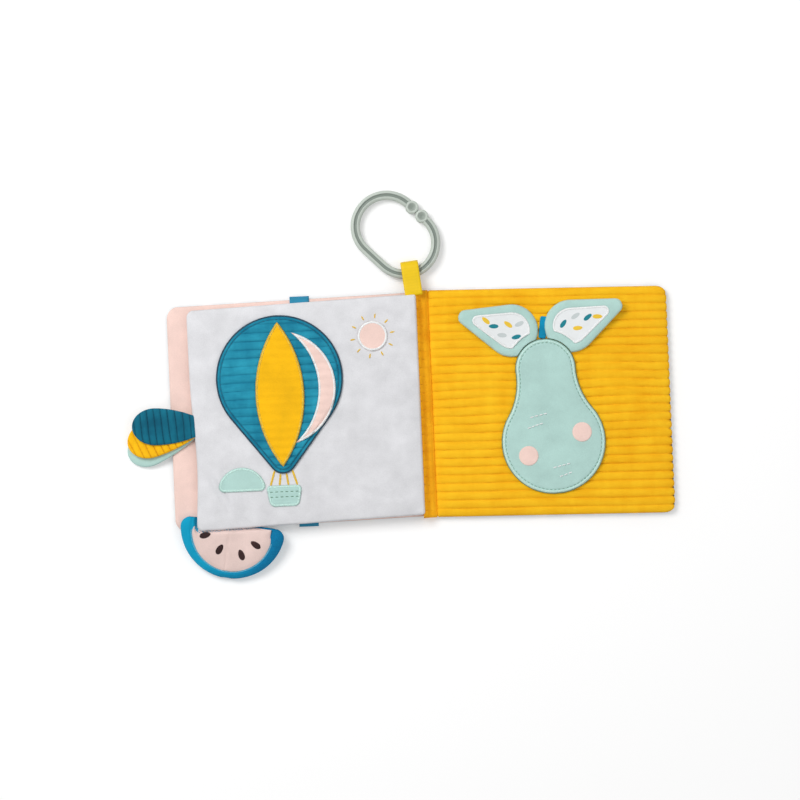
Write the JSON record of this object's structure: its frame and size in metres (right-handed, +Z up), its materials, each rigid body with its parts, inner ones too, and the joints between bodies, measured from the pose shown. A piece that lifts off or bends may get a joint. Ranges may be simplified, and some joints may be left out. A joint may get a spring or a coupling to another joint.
{
  "type": "soft cloth baby book",
  "caption": "Soft cloth baby book lying open: padded cloth leaves with corduroy, applique pictures, petal tabs, a fruit slice, a ribbon loop and a plastic link ring.",
  "frame": {"origin": "middle of the spine's underside, on the surface that the open book lies on", "axes": "+X towards the back cover's free edge, +Y along the spine towards the link ring, +Z up"},
  "size_m": [0.3648, 0.2549, 0.0166],
  "materials": {
    "white_velour": "short pile",
    "pink_velour": "short pile",
    "mint_velour": "short pile",
    "teal_velour": "short pile",
    "teal_corduroy": "wide wale",
    "mustard_corduroy": "wide wale",
    "mustard_cloth": "short pile",
    "dark_print": "printed plain weave",
    "drop_print": "printed plain weave",
    "teal_strap": "satin tape",
    "yellow_ribbon": "satin tape",
    "dark_felt": "felt",
    "grey_plastic": "moulded, satin"
  },
  "bodies": {
    "page_block": {"inner_page": "white_velour", "spine_strip": "mustard_cloth", "ribbon_loop": "yellow_ribbon", "petal_tab_teal": "teal_corduroy", "petal_tab_mustard": "mustard_corduroy", "petal_tab_mint": "mint_velour", "balloon_envelope": "teal_corduroy", "balloon_gore_mustard": "mustard_cloth", "balloon_gore_pink": "pink_velour", "balloon_basket": "mint_velour", "sun_patch": "pink_velour", "hill_patch": "mint_velour"},
    "front_cover": {"front_cover_inside": "pink_velour", "front_cover_outside": "dark_print", "strap": "teal_strap", "slice_rind": "teal_velour", "slice_flesh": "pink_velour", "slice_seeds": "dark_felt"},
    "back_cover": {"back_cover_inside": "mustard_corduroy", "back_cover_outside": "dark_print", "pear_body": "mint_velour", "pear_stem": "teal_velour", "leaf_flap_left": "mint_velour", "leaf_flap_right": "mint_velour", "leaf_panel_left": "drop_print", "leaf_panel_right": "drop_print", "pear_spot_low": "pink_velour", "pear_spot_high": "pink_velour"},
    "link_ring": {"link_ring": "grey_plastic"}
  },
  "joints": [
    {"name": "front_cover_hinge", "type": "hinge", "parent": "page_block", "child": "front_cover", "pos_m": [-0.0039, 0, 0], "axis": [0, 1, 0], "range_deg": [-175, 0]},
    {"name": "back_cover_hinge", "type": "hinge", "parent": "page_block", "child": "back_cover", "pos_m": [-0.0005, 0, 0.0144], "axis": [0, -1, 0], "range_deg": [0, 175]},
    {"name": "ring_swing", "type": "hinge", "parent": "page_block", "child": "link_ring", "pos_m": [-0.00675, 0.0873, 0.0053], "axis": [0.9925, 0.1219, 0], "range_deg": [-90, 90]}
  ]
}
